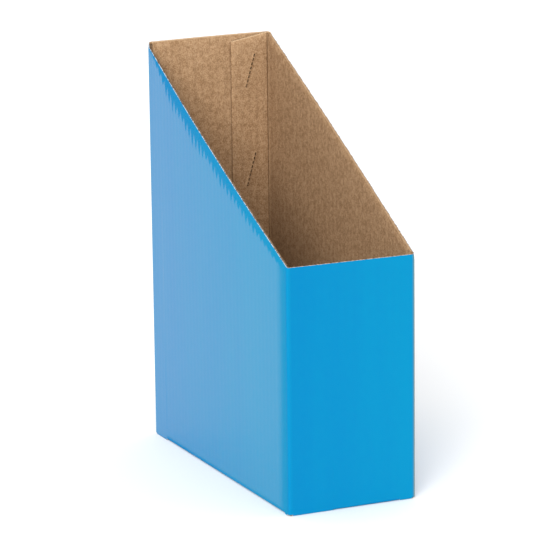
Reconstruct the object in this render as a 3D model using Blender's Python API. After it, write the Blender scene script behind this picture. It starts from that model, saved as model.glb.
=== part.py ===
"""Magazine file: an open-topped box of single-wall corrugated board that folds flat.

One sheet of board is creased into four walls, a glue flap and a self-locking base. Each panel is
three plies: an outer liner, a fluted medium and an inner liner. The tube folds as a parallelogram:
the front-left and back-right corners open, the other two close, and the base flaps rise with them.

Metres. +Z up, -Y is the low front, +X is right. The origin is the middle of the footprint, on the
surface that the file stands on.
"""

import math

import bmesh
import bpy
from mathutils import Matrix, Vector

# Outer size of the file when it stands open.
WIDTH = 0.100
DEPTH = 0.245
BACK_HEIGHT = 0.305
FRONT_HEIGHT = 0.1785

# Corrugated board, B flute.
BOARD = 0.003
LINER = 0.00035
PLY_GAP = 0.0001
FLUTE_PAPER = 0.00022
FLUTE_PITCH = 0.0062

# Clearances. GAP lies between panels that meet, GLUE_GAP holds a film of adhesive.
GAP = 0.0003
GLUE_GAP = 0.0005
GLUE_FILM = 0.0002
CREASE_LIFT = 0.0001

# Glue flap: it turns in from the right wall and is glued to the inside of the back wall.
FLAP_WIDTH = 0.030
FLAP_TOP_DROP = 0.0055
FLAP_GLUE_MARGIN = 0.004

# Perforated slants in the glue flap, each a row of short slots that keys the adhesive.
SLANT_COUNT = 4
SLANT_PITCH = 0.075
SLANT_FIRST_DROP = 0.016
SLANT_HEIGHT = 0.0243
SLANT_TOP_FROM_CREASE = 0.012
SLANT_BOTTOM_FROM_CREASE = 0.0185
SLOT_COUNT = 8
SLOT_LENGTH = 0.002
SLOT_WIDTH = 0.0005

# Base: two long flaps from the side walls lie on the floor, two short ones lie over their ends.
# "Acute" is the corner of the tube that closes as the file folds, "obtuse" the one that opens.
LONG_FLAP_DEPTH = 0.0458
LONG_FLAP_ACUTE_START = 0.020
LONG_FLAP_ACUTE_ANGLE = math.radians(33.2)
LONG_FLAP_OBTUSE_START = 0.0037
LONG_FLAP_SHOULDER = 0.0298
SHORT_FLAP_DEPTH = 0.060
SHORT_FLAP_ACUTE_START = 0.0075
SHORT_FLAP_OBTUSE_START = 0.0315
SHORT_FLAP_TAPER = math.radians(24.2)
BLUNT_END = 0.002
SHORT_FLAP_LEVEL = BOARD + GLUE_GAP

# Glued tab under each short flap: the end of the long flap beyond its diagonal crease.
TAB_NEAR = 0.033
TAB_FAR = 0.060
TAB_ROOT = 0.0015
TAB_REACH = 0.026
TAB_ANGLE = math.radians(27.0)
TAB_GLUE_MARGIN = 0.004

# Half sizes of the space inside the tube, and where the creases of the base run.
INNER_X = WIDTH / 2 - BOARD
INNER_Y = DEPTH / 2 - BOARD
SIDE_HALF_LENGTH = INNER_Y - GAP
SHORT_CREASE_Y = INNER_Y - CREASE_LIFT
SHORT_ROOT_Y = SHORT_CREASE_Y - GAP
LONG_CREASE_Z = BOARD + CREASE_LIFT
SHORT_CREASE_Z = SHORT_FLAP_LEVEL + BOARD + CREASE_LIFT
FLAP_BOTTOM = SHORT_CREASE_Z + GAP

# Colour, roughness and specular level of each paper and of the adhesive.
PRINTED_BLUE = ((0.004, 0.296, 0.646, 1.0), 0.32, 0.5)
KRAFT = ((0.376, 0.238, 0.128, 1.0), 0.85, 0.3)
MEDIUM = ((0.290, 0.180, 0.100, 1.0), 0.92, 0.2)
ADHESIVE = ((0.780, 0.740, 0.620, 1.0), 0.40, 0.5)


def clear_scene():
    for obj in list(bpy.data.objects):
        bpy.data.objects.remove(obj, do_unlink=True)


def make_material(name, finish):
    colour, roughness, specular = finish
    material = bpy.data.materials.new(name)
    material.use_nodes = True
    shader = material.node_tree.nodes["Principled BSDF"]
    shader.inputs["Base Color"].default_value = colour
    shader.inputs["Roughness"].default_value = roughness
    shader.inputs["Metallic"].default_value = 0.0
    shader.inputs["Specular IOR Level"].default_value = specular
    material.diffuse_color = colour
    return material


def make_body(name, location, parent=None):
    """An empty on the body's own hinge axis; every ply of the body is its child."""
    empty = bpy.data.objects.new(name, None)
    bpy.context.collection.objects.link(empty)
    empty.empty_display_size = 0.01
    empty.parent = parent
    empty.location = Vector(location) - (parent.matrix_world.translation if parent else Vector())
    bpy.context.view_layer.update()
    return empty


def place(origin, rise, inward):
    """Panel axes in the world: u across the flutes, v along them, w from outer to inner face."""
    rise = Vector(rise)
    inward = Vector(inward)
    across = rise.cross(inward)
    rotation = Matrix((across, rise, inward)).transposed().to_4x4()
    return Matrix.Translation(Vector(origin)) @ rotation


def add_object(name, bm, body, matrix, finish):
    bmesh.ops.recalc_face_normals(bm, faces=bm.faces)
    mesh = bpy.data.meshes.new(name)
    bm.to_mesh(mesh)
    bm.free()
    mesh.materials.append(make_material(name, finish))
    obj = bpy.data.objects.new(name, mesh)
    bpy.context.collection.objects.link(obj)
    obj.parent = body
    obj.matrix_local = body.matrix_world.inverted() @ matrix
    return obj


def slab(outline, low, high):
    """A flat ply: the outline extruded from w = low to w = high."""
    bm = bmesh.new()
    floor = [bm.verts.new((u, v, low)) for u, v in outline]
    base = bm.faces.new(floor)
    moved = bmesh.ops.extrude_face_region(bm, geom=[base])
    verts = [item for item in moved["geom"] if isinstance(item, bmesh.types.BMVert)]
    bmesh.ops.translate(bm, verts=verts, vec=(0.0, 0.0, high - low))
    return bm


def span_at(outline, u):
    """Lowest and highest v of the outline at one u."""
    heights = []
    for (u0, v0), (u1, v1) in zip(outline, outline[1:] + outline[:1]):
        if min(u0, u1) - 1e-9 <= u <= max(u0, u1) + 1e-9:
            if abs(u1 - u0) < 1e-9:
                heights += [v0, v1]
            else:
                heights.append(v0 + (v1 - v0) * (u - u0) / (u1 - u0))
    return min(heights), max(heights)


def flute_stations(outline):
    """Every u where the fluted medium or its outline bends: four to a pitch, with flat crests."""
    low = min(u for u, v in outline)
    high = max(u for u, v in outline)
    step = FLUTE_PITCH / 4
    first = math.ceil(low / step - 0.5)
    last = math.floor(high / step - 0.5)
    bends = {round((index + 0.5) * step, 7) for index in range(first, last + 1)}
    corners = {round(u, 7) for u, v in outline}
    return sorted(bends | corners)


def flute_offset(u, reach):
    """Height of the medium's middle plane: a trapezoid wave that swings from -reach to reach."""
    phase = (u / FLUTE_PITCH) % 1.0
    slope = 1.0 - abs(4.0 * phase - 2.0)
    return reach * max(-1.0, min(1.0, 2.0 * slope))


def fluted(outline):
    """The medium: one sheet of paper folded into flutes that run along v."""
    bm = bmesh.new()
    reach = BOARD / 2 - LINER - PLY_GAP - FLUTE_PAPER / 2
    rings = []
    for u in flute_stations(outline):
        low, high = span_at(outline, u)
        middle = BOARD / 2 + flute_offset(u, reach)
        below = middle - FLUTE_PAPER / 2
        above = middle + FLUTE_PAPER / 2
        corners = ((low, below), (high, below), (high, above), (low, above))
        rings.append([bm.verts.new((u, v, w)) for v, w in corners])
    for ring, after in zip(rings, rings[1:]):
        for side in range(4):
            turn = (side + 1) % 4
            bm.faces.new((ring[side], ring[turn], after[turn], after[side]))
    bm.faces.new(rings[0])
    bm.faces.new(rings[-1])
    return bm


def add_panel(name, outline, body, matrix, outer_finish=PRINTED_BLUE):
    """Three plies of board over one outline. Returns the two liners."""
    outer = add_object(name + "_outer_liner", slab(outline, 0.0, LINER), body, matrix, outer_finish)
    add_object(name + "_flute", fluted(outline), body, matrix, MEDIUM)
    inner_ply = slab(outline, BOARD - LINER, BOARD)
    inner = add_object(name + "_inner_liner", inner_ply, body, matrix, KRAFT)
    return outer, inner


def top_edge(y):
    """Height of the side walls, which slope in one straight line from the back to the front."""
    share = (y + DEPTH / 2) / DEPTH
    return FRONT_HEIGHT + (BACK_HEIGHT - FRONT_HEIGHT) * share


def end_wall_outline(height):
    half = WIDTH / 2
    return [(-half, 0.0), (half, 0.0), (half, height), (-half, height)]


def side_wall_outline(back_side):
    """back_side is +1 where u grows towards the back, and -1 where it grows to the front."""
    half = SIDE_HALF_LENGTH
    high = top_edge(back_side * half)
    low = top_edge(-back_side * half)
    return [(-half, 0.0), (half, 0.0), (half, high), (-half, low)]


def glue_flap_outline():
    crease = INNER_X - GAP
    free = crease - FLAP_WIDTH
    high = BACK_HEIGHT - GAP
    return [(free, FLAP_BOTTOM), (crease, FLAP_BOTTOM), (crease, high), (free, high - FLAP_TOP_DROP)]


def long_flap_outline():
    """A side wall's base flap. It is cut back where the short flap of the obtuse corner lies."""
    half = SIDE_HALF_LENGTH
    depth = LONG_FLAP_DEPTH
    shoulder = LONG_FLAP_SHOULDER
    rise = math.tan(LONG_FLAP_ACUTE_ANGLE)
    acute = -half + LONG_FLAP_ACUTE_START
    notch = half - SHORT_FLAP_OBTUSE_START
    return [
        (acute, 0.0),
        (half - LONG_FLAP_OBTUSE_START, 0.0),
        (half - LONG_FLAP_OBTUSE_START, shoulder),
        (notch, shoulder),
        (notch - (depth - shoulder), depth),
        (-half + depth / rise, depth),
        (acute, LONG_FLAP_ACUTE_START * rise),
    ]


def short_flap_outline():
    """An end wall's base flap. Its high-u end is at the acute corner."""
    acute = INNER_X - SHORT_FLAP_ACUTE_START
    obtuse = -INNER_X + SHORT_FLAP_OBTUSE_START
    depth = SHORT_FLAP_DEPTH
    drift = (depth - BLUNT_END) * math.tan(SHORT_FLAP_TAPER)
    return [(obtuse, 0.0), (acute, 0.0), (acute, BLUNT_END), (acute - drift, depth), (obtuse, depth)]


def tab_outline():
    near = INNER_X - TAB_NEAR
    far = INNER_X - TAB_FAR
    rise = math.tan(TAB_ANGLE)
    return [
        (far, TAB_ROOT),
        (near, TAB_ROOT),
        (near, TAB_NEAR * rise),
        (INNER_X - TAB_REACH / rise, TAB_REACH),
        (far, TAB_REACH),
    ]


def make_slots():
    """One cutter for all the slots of the perforated slants, in the glue flap's own axes."""
    bm = bmesh.new()
    crease = INNER_X - GAP
    lean = Vector((SLANT_TOP_FROM_CREASE - SLANT_BOTTOM_FROM_CREASE, -SLANT_HEIGHT))
    turn = Matrix.Rotation(math.atan2(lean.x, -lean.y), 4, "Z")
    size = Matrix.Diagonal((SLOT_WIDTH, SLOT_LENGTH, 3 * BOARD, 1.0))
    for slant in range(SLANT_COUNT):
        top = BACK_HEIGHT - SLANT_FIRST_DROP - slant * SLANT_PITCH
        for slot in range(SLOT_COUNT):
            share = (slot + 0.5) / SLOT_COUNT
            u = crease - SLANT_TOP_FROM_CREASE + lean.x * share
            v = top + lean.y * share
            centre = Matrix.Translation((u, v, BOARD / 2))
            bmesh.ops.create_cube(bm, size=1.0, matrix=centre @ turn @ size)
    return bm


def perforate(liners, body, matrix):
    cutter = add_object("glue_flap_slots", make_slots(), body, matrix, KRAFT)
    cutter.hide_render = True
    cutter.display_type = "WIRE"
    for liner in liners:
        cut = liner.modifiers.new("perforations", "BOOLEAN")
        cut.operation = "DIFFERENCE"
        cut.solver = "EXACT"
        cut.object = cutter


def inset_box(u_low, u_high, v_low, v_high):
    return [(u_low, v_low), (u_high, v_low), (u_high, v_high), (u_low, v_high)]


def build_walls(bodies):
    ends = (("front_wall", -1, FRONT_HEIGHT), ("back_wall", 1, BACK_HEIGHT))
    for name, side, height in ends:
        matrix = place((0.0, side * DEPTH / 2, 0.0), (0, 0, 1), (0, -side, 0))
        add_panel(name, end_wall_outline(height), bodies[name], matrix)
    for name, side in (("left_wall", -1), ("right_wall", 1)):
        matrix = place((side * WIDTH / 2, 0.0, 0.0), (0, 0, 1), (-side, 0, 0))
        add_panel(name, side_wall_outline(-side), bodies[name], matrix)


def build_glue_flap(body):
    face = INNER_Y - GLUE_GAP
    matrix = place((0.0, face, 0.0), (0, 0, 1), (0, -1, 0))
    liners = add_panel("glue_flap", glue_flap_outline(), body, matrix, KRAFT)
    perforate(liners, body, matrix)
    crease = INNER_X - GAP - FLAP_GLUE_MARGIN
    free = crease - FLAP_WIDTH + 2 * FLAP_GLUE_MARGIN
    high = BACK_HEIGHT - FLAP_TOP_DROP - FLAP_GLUE_MARGIN
    outline = inset_box(free, crease, FLAP_BOTTOM + FLAP_GLUE_MARGIN, high)
    outside = -(GLUE_GAP + GLUE_FILM) / 2
    film = slab(outline, outside, outside + GLUE_FILM)
    add_object("glue_flap_adhesive", film, body, matrix, ADHESIVE)


def build_base(bodies):
    for name, side in (("base_flap_left", -1), ("base_flap_right", 1)):
        matrix = place((side * (INNER_X - GAP), 0.0, 0.0), (-side, 0, 0), (0, 0, 1))
        add_panel(name, long_flap_outline(), bodies[name], matrix)
    ends = (("base_flap_front", "glue_tab_right", -1), ("base_flap_back", "glue_tab_left", 1))
    for name, tab, side in ends:
        body = bodies[name]
        matrix = place((0.0, side * SHORT_ROOT_Y, SHORT_FLAP_LEVEL), (0, -side, 0), (0, 0, 1))
        add_panel(name, short_flap_outline(), body, matrix)
        tab_matrix = place((0.0, side * SHORT_ROOT_Y, 0.0), (0, -side, 0), (0, 0, 1))
        add_panel(tab, tab_outline(), body, tab_matrix)
        far = INNER_X - TAB_FAR + TAB_GLUE_MARGIN
        near = INNER_X - TAB_NEAR - TAB_GLUE_MARGIN
        outline = inset_box(far, near, TAB_ROOT + TAB_GLUE_MARGIN, TAB_REACH - 2 * TAB_GLUE_MARGIN)
        level = BOARD + (GLUE_GAP - GLUE_FILM) / 2
        film = slab(outline, level, level + GLUE_FILM)
        add_object(tab + "_adhesive", film, body, tab_matrix, ADHESIVE)


def build_bodies():
    """The tree of folding panels. Each empty sits on the crease that its panels turn about."""
    front = make_body("front_wall", (0.0, 0.0, 0.0))
    left = make_body("left_wall", (-WIDTH / 2, -INNER_Y, 0.0), front)
    right = make_body("right_wall", (INNER_X, -INNER_Y, 0.0), front)
    back = make_body("back_wall", (-INNER_X, INNER_Y, 0.0), left)
    return {
        "front_wall": front,
        "left_wall": left,
        "right_wall": right,
        "back_wall": back,
        "base_flap_left": make_body("base_flap_left", (-INNER_X, 0.0, LONG_CREASE_Z), left),
        "base_flap_right": make_body("base_flap_right", (INNER_X, 0.0, LONG_CREASE_Z), right),
        "base_flap_front": make_body("base_flap_front", (0.0, -SHORT_CREASE_Y, SHORT_CREASE_Z), front),
        "base_flap_back": make_body("base_flap_back", (0.0, SHORT_CREASE_Y, SHORT_CREASE_Z), back),
    }


def main():
    clear_scene()
    bodies = build_bodies()
    build_walls(bodies)
    build_glue_flap(bodies["back_wall"])
    build_base(bodies)


main()
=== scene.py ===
"""Looks of a magazine file folded from corrugated board: a printed liner, fluting and a kraft liner.

Every panel is built again as three plies of finer mesh in the place of its CAD plies. The rounded creases
between panels are pieces of their own. The back right one rides on the right wall; the others are fixed
in place and ride on no body.
"""

import math

import bmesh
import bpy
import numpy as np
from mathutils import Matrix, Vector


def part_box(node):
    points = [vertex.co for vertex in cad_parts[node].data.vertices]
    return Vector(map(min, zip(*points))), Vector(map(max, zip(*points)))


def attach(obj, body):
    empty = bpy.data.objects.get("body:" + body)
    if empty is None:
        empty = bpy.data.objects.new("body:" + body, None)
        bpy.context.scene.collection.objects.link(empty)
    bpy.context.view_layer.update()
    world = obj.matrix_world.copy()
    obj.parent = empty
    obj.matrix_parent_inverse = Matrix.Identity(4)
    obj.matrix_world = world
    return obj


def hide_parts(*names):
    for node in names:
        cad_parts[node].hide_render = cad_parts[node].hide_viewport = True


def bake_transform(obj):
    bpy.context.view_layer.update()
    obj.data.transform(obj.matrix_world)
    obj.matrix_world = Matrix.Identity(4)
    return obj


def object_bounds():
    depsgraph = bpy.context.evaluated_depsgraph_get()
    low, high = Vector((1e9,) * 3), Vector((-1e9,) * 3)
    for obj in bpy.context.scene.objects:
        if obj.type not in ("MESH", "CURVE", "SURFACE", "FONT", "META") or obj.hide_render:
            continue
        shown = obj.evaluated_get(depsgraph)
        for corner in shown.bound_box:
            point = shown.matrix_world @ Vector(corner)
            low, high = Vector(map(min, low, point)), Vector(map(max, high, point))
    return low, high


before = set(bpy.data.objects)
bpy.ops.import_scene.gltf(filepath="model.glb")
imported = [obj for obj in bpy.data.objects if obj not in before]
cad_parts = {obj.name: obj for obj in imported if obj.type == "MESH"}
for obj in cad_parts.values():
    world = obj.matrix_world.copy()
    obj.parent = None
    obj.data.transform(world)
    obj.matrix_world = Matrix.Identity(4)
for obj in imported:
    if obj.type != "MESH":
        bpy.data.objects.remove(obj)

CAD_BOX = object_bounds()
MM = 0.001

# ---- the board -------------------------------------------
PITCH = 6.2 * MM  # from one flute to the next
BOARD = 3.0 * MM
LINER = 0.45 * MM  # a liner and the glue that holds it to the fluting
MEDIUM = 0.28 * MM  # the fluting's paper
WASHBOARD = 0.035 * MM  # how far a liner sinks between two flutes
WAVINESS = 0.10 * MM  # slow unevenness of a whole wall
WAVE_LENGTHS = 95 * MM, 61 * MM, 33 * MM
SETTLE_REACH = 7.0 * MM  # a wall's unevenness sets in over this much at its ends, and twice that at its foot
CRUSH = 0.35 * MM  # how far the die pressed the outer face in along a cut edge
INNER_CRUSH = 2.4  # the inner face is pressed this many times further
CRUSH_REACH = 5.0 * MM
FRAY = 0.16 * MM  # unevenness of a cut edge
FRAY_GRAIN = 1.3 * MM  # the shortest wave of that unevenness

# ---- the meshes ------------------------------------------
COLUMN = PITCH / 10  # from one column of points to the next, across the flutes
END_ROWS = np.array([0.0, 0.4, 1.2, 2.5, 4.5, 7.0]) * MM  # a column's points near each of its ends
SHORT_COLUMN = 24 * MM  # columns shorter than this squeeze those points together
LEAST_COLUMN = 0.5 * MM
LINER_ROWS = 8  # the points between them in a liner
MEDIUM_ROWS = 2
PERFORATED_ROWS = 420  # the same in the glue flap's inner liner, whose cuts have raised lips
ARC_STEPS = 12
SEED_STEP = 0.37  # the offset between the patterns of two pieces
SHARP_ANGLE = 50  # degrees; edges with a larger bend are shaded sharp
HAIR = 0.01 * MM  # half the width of a step in an outline

# ---- the walls' upper edges ------------------------------
LEFT_DROP = 3.1 * MM  # how much lower than the back wall the left wall's upper edge ends
LEFT_SAG = 1.5 * MM  # how much lower than straight it is half way
BACK_RISE = 1.3 * MM  # how much higher than its left end the back wall's upper edge ends at the right
RIGHT_LEVEL = 5.0 * MM  # the right wall's upper edge is level this far in front of its back crease
BULGE = 1.2 * MM  # how far a side wall's upper edge stands out half way along
TORN_REACH = 0.2 * MM, 1.0 * MM  # torn fibres thin out between these distances below a cut edge
TORN_LIGHT = 1.25  # how much lighter those fibres are than the others

# ---- the upright creases ---------------------------------
CORNER = BOARD  # radius of an upright corner's outer face
CORE = CORNER - LINER  # outer radius of the pressed board inside a crease
HOLLOW = 0.35 * MM  # radius left open in the bend's inner corner
CORNER_SQUARE = 0.6  # under 1, so the printed liner stands out from a true arc at a corner
FOLD_SQUARE = 0.4  # the same at the back right corner, where the fold is pressed into the back wall
CREASE_FOOT = 0.8 * MM  # the upright creases end this far above the walls' feet
CORE_DROP = 8 * FRAY  # and a crease's pressed board ends this far below its liner's upper edge
BEAD = 0.6 * MM  # radius of the fold's edge, a bead that stands on the back right corner's opened pivot
BEAD_SKIN = 0.2 * MM

# ---- the pressed score lines beside the back right corner ----
SCORE_DEPTH = 0.3 * MM
SCORE_WIDTH = 0.5 * MM
SCORE_OFFSET = 2.6 * MM  # from the corner to the second line
CORNER_SCORE = 2.4  # the line at the corner is this many times deeper in the right wall
FLAP_SCORE = 3.0  # and this many times deeper in the glue flap

# ---- the base --------------------------------------------
HINGE_STOP = 2.5 * MM  # a short flap's crease ends this far from its narrow end, clear of the folding wall
LOBE = 2.0 * MM  # radius of the front and back walls' lower edges
SHORT_FLAP_RISE = 3.5 * MM  # the short flaps lie on top of the long ones
BASE_LIFT = 0.1 * MM  # a base crease turns this far above the flap's inner face
LAP = 3 * BASE_LIFT  # a base crease runs this far under or into its flap
CREASE_STEP = 4 * MM  # the mesh along a base crease
# the flaps' and tabs' free edges, as the CAD cuts them: (place across, length) in mm
LONG_FLAP = [(-99.2, 13.1), (-49.2, 45.8), (71.7, 45.8), (87.7, 29.8), (115.5, 29.8)]
SHORT_FLAP = [(-15.5, 60.0), (13.4, 60.0), (39.5, 2.0)]
GLUE_TAB = [(-13.0, 24.5), (-4.0, 24.5), (14.0, 15.3)]

# ---- the glue flap ---------------------------------------
FLAP_RISE = 1.9 * MM  # how much higher than in the CAD its upper edge is
FLAP_TOP_DROP = 5.5 * MM  # how much lower its free edge starts
FREE_EDGE_CRUSH = 1.1 * MM  # how far its free edge is pressed down
FREE_EDGE_REACH = 2.5 * MM
TOP_EDGE_CRUSH = 0.9 * MM  # the same for its upper edge
TOP_EDGE_REACH = 1.3 * MM

# ---- the perforated slants in the glue flap --------------
SLANTS = 4
SLANT_PITCH = 76.5 * MM
SLANT_FIRST_DROP = 15.5 * MM
SLANT_HEIGHT = 22.6 * MM
SLANT_TOP_INSET = 12 * MM  # from the crease at its upper end
SLANT_FOOT_INSET = 18.5 * MM
SLANT_CUTS = 8
CUT_LENGTH = 1.5 * MM
CUT_WIDTH = 0.9 * MM
END_HOLE = 0.7 * MM  # radius of the round hole at a slant's lower end
HOLE_DROP = 1.0 * MM  # from the middle of the lowest cut
RIM_HEIGHT = 0.5 * MM  # the liner's raised lip round a cut
RIM_REACH = 1.0 * MM
CUT_DEPTHS = 1.5 * LINER, BOARD + 2 * LINER  # a cut starts in the fluting and ends past the inner liner

# ---- where the clear coat stops on a side wall -----------
BARE_WIDTH = 9 * MM  # the bare margin below the slanted edge, at the back
BARE_TAPER = 0.02  # how much narrower it gets for each unit forward
BARE_RISE = 60 * MM  # it reaches its width this far in front of the back wall
TOOTH = 17 * MM  # the coat's end runs down each flute in a tooth of up to this length
TOOTH_THINS = 3.2  # the share of a tooth lost for each metre forward
COAT_FADE = 1.6 * MM
COAT_LENGTH = 240 * MM  # from the back wall to the bare margin at the front
FRONT_FADE = 14 * MM
COAT_THINS = 1.1  # the share of the coat lost for each metre forward

# ---- the camera and the room -----------------------------
AZIMUTH, ELEVATION, ROLL = (math.radians(a) for a in (-24.64, 12.65, -0.66))
CAMERA_DISTANCE = 2.2075
LENS = 196.8
AIM_RIGHT, AIM_UP = -0.0024, -0.0080
FLOOR_HALF = 30.0
FLOOR_LEVEL = -0.3 * MM
KEY_TOWARD = (-1.0, -1.25, 0.72)
KEY_STRENGTH, KEY_SPREAD = 2.6, 30
SKY_STRENGTH = 1.0


# ==========================================================
# Panels and meshes
# ==========================================================
class Panel:
    """A flat panel's own axes: u across the flutes, v along them, w from its outer to its inner face."""

    def __init__(self, name, body, rise, inward):
        self.name, self.body = name, body
        self.v_axis, self.w_axis = np.array(rise, float), np.array(inward, float)
        self.u_axis = np.cross(self.v_axis, self.w_axis)
        corners = [np.array(c) for ply in ("outer", "inner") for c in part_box(f"{name}_{ply}_liner")]
        self.u_low, self.u_high = self.reach(corners, self.u_axis)
        self.foot, self.top = self.reach(corners, self.v_axis)
        self.face, self.back = self.reach(corners, self.w_axis)

    @staticmethod
    def reach(corners, axis):
        along = [float(c @ axis) for c in corners]
        return min(along), max(along)

    @property
    def height(self):
        return self.top - self.foot

    def points(self, u, v, w):
        """Places in the row frame of arrays of u, v above the panel's foot, and w behind its outer face."""
        return (
            u[..., None] * self.u_axis
            + (self.foot + v)[..., None] * self.v_axis
            + (self.face + w)[..., None] * self.w_axis
        )


def smooth(x):
    x = np.clip(x, 0.0, 1.0)
    return x * x * (3 - 2 * x)


def unevenness(a, b, seed):
    """A slow wave between -1 and 1 over two lengths in metres, and the same for the same seed."""
    r = np.random.default_rng(seed)
    total = 0.0
    for length in WAVE_LENGTHS:
        turn, start = r.uniform(0, math.pi), r.uniform(0, math.tau)
        total = total + np.sin(math.tau * (a * math.cos(turn) + b * math.sin(turn)) / length + start)
    return total / 3


def jitter(u, seed):
    """The unevenness of a cut edge along u, between about -1 and 1."""
    r = np.random.default_rng(seed)
    total = 0.0
    for scale in (1.0, 2.3, 5.1):
        total = total + np.sin(math.tau * u / (FRAY_GRAIN * scale) + r.uniform(0, math.tau))
    return total / 3


def rows(height, middle):
    """Heights of each column's points, closer together near its two ends, with middle points between."""
    squeeze = np.minimum(1.0, height / SHORT_COLUMN)[:, None]
    low = END_ROWS[None, :] * squeeze
    high = height[:, None] - END_ROWS[None, ::-1] * squeeze
    t = np.linspace(0, 1, middle + 2)[1:-1][None, :]
    between = low[:, -1:] * (1 - t) + high[:, :1] * t
    return np.concatenate([low, between, high], axis=1)


def slab(name, front, back, board, marks, finishes):
    """A closed thin solid between two grids of points, each (across, along, 3).

    finishes are the materials of the front, the back and the rim. board holds each point's u, v and an
    offset of the panel's own. marks holds its distances below the cut upper edge and before the back wall,
    and how far round a crease it is.
    """
    n, m = front.shape[:2]
    index = np.arange(n * m).reshape(n, m)
    a, b = index[:-1, :-1].ravel(), index[1:, :-1].ravel()
    c, d = index[1:, 1:].ravel(), index[:-1, 1:].ravel()
    far = n * m
    ring = np.concatenate([index[:, 0], index[-1, 1:], index[-2::-1, -1], index[0, -2:0:-1]])
    after = np.roll(ring, -1)
    quads = np.concatenate(
        [
            np.stack([a, d, c, b], 1),
            np.stack([a, b, c, d], 1) + far,
            np.stack([ring, after, after + far, ring + far], 1),
        ]
    )
    mesh = bpy.data.meshes.new(name)
    points = np.concatenate([front.reshape(-1, 3), back.reshape(-1, 3)])
    mesh.from_pydata(points.tolist(), [], quads.tolist())
    kinds = np.repeat([0, 1, 2], [len(a), len(a), len(ring)])
    mesh.polygons.foreach_set("material_index", kinds.astype(np.int32))
    for material in finishes:
        mesh.materials.append(material)
    for layer, values in (("board", board), ("marks", marks)):
        store(mesh, layer, np.tile(values.reshape(-1, 3), (2, 1)))
    turn_outward(mesh)
    mesh.polygons.foreach_set("use_smooth", np.ones(len(mesh.polygons), bool))
    mesh.set_sharp_from_angle(angle=math.radians(SHARP_ANGLE))
    obj = bpy.data.objects.new(name, mesh)
    bpy.context.scene.collection.objects.link(obj)
    return obj


def store(mesh, name, values):
    """Keeps a vector of each point in a layer that the materials read."""
    layer = mesh.attributes.new(name, "FLOAT_VECTOR", "POINT")
    layer.data.foreach_set("vector", values.ravel().astype(np.float32))


def turn_outward(mesh):
    bm = bmesh.new()
    bm.from_mesh(mesh)
    bmesh.ops.recalc_face_normals(bm, faces=bm.faces)
    bm.to_mesh(mesh)
    bm.free()


# ==========================================================
# Materials
# ==========================================================
class Nodes:
    """A material's node tree, built by short calls."""

    def __init__(self, name):
        self.material = bpy.data.materials.new(name)
        self.material.use_nodes = True
        self.tree = self.material.node_tree
        self.shader = self.tree.nodes["Principled BSDF"]

    def add(self, kind, settings=None, **inputs):
        node = self.tree.nodes.new(kind)
        for key, value in (settings or {}).items():
            setattr(node, key, value)
        for key, value in inputs.items():
            self.feed(node.inputs[key.replace("_", " ")], value)
        return node

    def feed(self, socket, value):
        if isinstance(value, bpy.types.NodeSocket):
            self.tree.links.new(value, socket)
        else:
            socket.default_value = value

    def math(self, operation, first, second=0.0, clamp=False):
        node = self.add("ShaderNodeMath", {"operation": operation, "use_clamp": clamp})
        self.feed(node.inputs[0], first)
        self.feed(node.inputs[1], second)
        return node.outputs[0]

    def step(self, value, low, high):
        """0 where value is under low, 1 over high, and smooth between."""
        node = self.add("ShaderNodeMapRange", {"interpolation_type": "SMOOTHSTEP"})
        for key, v in zip(("Value", "From Min", "From Max"), (value, low, high)):
            self.feed(node.inputs[key], v)
        return node.outputs["Result"]

    def mix(self, factor, first, second):
        node = self.add("ShaderNodeMix", {"data_type": "RGBA"})
        self.feed(node.inputs["Factor"], factor)
        for socket, colour in ((node.inputs[6], first), (node.inputs[7], second)):
            self.feed(socket, (*colour, 1.0) if isinstance(colour, tuple) else colour)
        return node.outputs[2]

    def layer(self, name):
        """A layer that slab() stored on each point, as a vector."""
        return self.add("ShaderNodeAttribute", {"attribute_name": name}).outputs["Vector"]

    def split(self, vector):
        """A vector's parts, by the names X, Y and Z."""
        return self.add("ShaderNodeSeparateXYZ", Vector=vector).outputs

    def stretched(self, vector, x, y, z):
        node = self.add("ShaderNodeMapping", Vector=vector)
        node.inputs["Scale"].default_value = (x, y, z)
        return node.outputs["Vector"]

    def noise(self, vector, scale, detail=1.0, rough=0.5):
        node = self.add("ShaderNodeTexNoise", Vector=vector, Scale=scale, Detail=detail, Roughness=rough)
        return node.outputs["Fac"]

    def line(self, value, gain, offset):
        """value * gain + offset."""
        node = self.math("MULTIPLY_ADD", value, gain).node
        node.inputs[2].default_value = offset
        return node.outputs[0]

    def flutes(self, u):
        """1 over a flute's tip and 0 half way to the next."""
        return self.line(self.math("COSINE", self.math("MULTIPLY", u, math.tau / PITCH)), 0.5, 0.5)

    def bump(self, height, distance, strength):
        node = self.add("ShaderNodeBump", Height=height, Distance=distance, Strength=strength)
        self.tree.links.new(node.outputs["Normal"], self.shader.inputs["Normal"])

    def finish(self, **inputs):
        for key, value in inputs.items():
            socket = self.shader.inputs[key.replace("_", " ")]
            self.feed(socket, (*value, 1.0) if isinstance(value, tuple) and len(value) == 3 else value)
        return self.material


def srgb(r, g, b):
    """A linear colour from the 0-255 values that a screen shows."""
    shown = (r / 255, g / 255, b / 255)
    return tuple(c / 12.92 if c <= 0.04045 else ((c + 0.055) / 1.055) ** 2.4 for c in shown)


KRAFT_LIGHT, KRAFT_DARK = srgb(180, 147, 112), srgb(136, 104, 72)
KRAFT_SPECK, KRAFT_FIBRE = srgb(90, 64, 43), srgb(192, 165, 133)
BLUE, BLUE_DEEP = srgb(0, 126, 168), srgb(0, 115, 166)
PAPER_CORE, PAPER_GAP = srgb(212, 218, 224), srgb(158, 170, 181)
WORN_INK = srgb(112, 133, 122)
GLUE_DEEP, GLUE_PALE = srgb(214, 200, 164), srgb(238, 230, 206)
FLOOR_DARK, FLOOR_LIGHT = (0.93, 0.93, 0.93), (0.96, 0.96, 0.96)

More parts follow.
